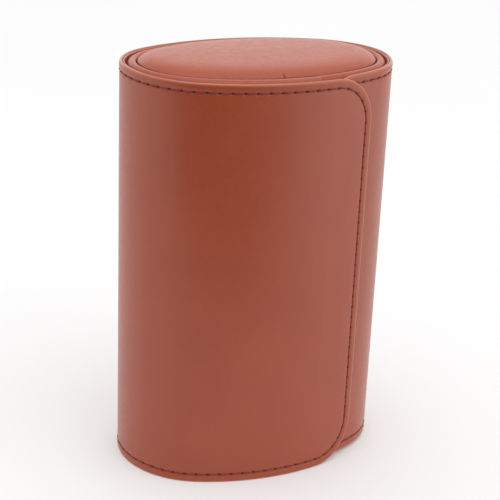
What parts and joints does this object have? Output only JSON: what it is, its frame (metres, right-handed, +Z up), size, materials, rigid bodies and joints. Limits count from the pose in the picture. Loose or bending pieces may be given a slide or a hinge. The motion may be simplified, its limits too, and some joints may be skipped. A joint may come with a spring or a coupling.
{
  "type": "watch roll case",
  "caption": "Closed oval leather-wrapped travel roll standing on end, with a stitched wrap-round flap, padded ends and pillowed slots inside.",
  "frame": {"origin": "on the surface that the case stands on, at the centre of the oval tray", "axes": "+Z up along the roll, -Y towards the mouth and the flap's overlap, -X towards the flap's hinge line"},
  "size_m": [0.1114, 0.0758, 0.168],
  "materials": {
    "backing": "split leather",
    "board": "grey board",
    "end_leather": "smooth saddle-brown, semi-matt",
    "filler_cord": "twisted filler cord",
    "foam": "open-cell foam",
    "leather": "smooth saddle-brown, semi-matt",
    "pillow_suede": "microsuede",
    "steel": "nickel plated",
    "suede": "microsuede",
    "thread": "waxed polyester"
  },
  "bodies": {
    "case": {"divider_1_board": "board", "divider_1_cover": "suede", "divider_2_board": "board", "divider_2_cover": "suede", "end_bead_bottom": "end_leather", "end_bead_cord_bottom": "filler_cord", "end_bead_cord_top": "filler_cord", "end_bead_top": "end_leather", "end_board_bottom": "board", "end_board_top": "board", "end_foam_bottom": "foam", "end_foam_top": "foam", "end_lining_bottom": "suede", "end_lining_top": "suede", "end_panel_bottom": "end_leather", "end_panel_top": "end_leather", "keeper_discs": "steel", "mouth_binding": "leather", "tray_lining": "suede", "tray_shell": "board", "wrap_backing": "backing", "wrap_leather": "leather", "wrap_stitches": "thread"},
    "flap_side": {"flap_side_leather": "leather", "flap_side_lining": "suede", "flap_side_stitches": "thread"},
    "flap_front": {"flap_front_leather": "leather", "flap_front_lining": "suede", "flap_front_stitches": "thread", "flap_magnets": "steel"},
    "pillow_1": {"pillow_1_core": "foam", "pillow_1_cover": "pillow_suede"},
    "pillow_2": {"pillow_2_core": "foam", "pillow_2_cover": "pillow_suede"},
    "pillow_3": {"pillow_3_core": "foam", "pillow_3_cover": "pillow_suede"}
  },
  "joints": [
    {"name": "flap_open", "type": "hinge", "parent": "case", "child": "flap_side", "pos_m": [-0.0555, 0, 0.0825], "axis": [0, 0, -1], "range_deg": [0, 105]},
    {"name": "flap_curl", "type": "hinge", "parent": "flap_side", "child": "flap_front", "pos_m": [-0.03439, -0.0319, 0.0825], "axis": [0, 0, -1], "range_deg": [0, 63]},
    {"name": "pillow_1_slide", "type": "slide", "parent": "case", "child": "pillow_1", "axis": [0, -1, 0], "range_m": [0, 0.055]},
    {"name": "pillow_2_slide", "type": "slide", "parent": "case", "child": "pillow_2", "axis": [0, -1, 0], "range_m": [0, 0.055]},
    {"name": "pillow_3_slide", "type": "slide", "parent": "case", "child": "pillow_3", "axis": [0, -1, 0], "range_m": [0, 0.055]}
  ],
  "couplings": [
    {"joint": "flap_curl", "follows": "flap_open", "ratio": 0.6},
    {"joint": "pillow_1_slide", "follows": "flap_open", "m_per_rad": 0.0299},
    {"joint": "pillow_2_slide", "follows": "flap_open", "m_per_rad": 0.0299},
    {"joint": "pillow_3_slide", "follows": "flap_open", "m_per_rad": 0.0299}
  ]
}
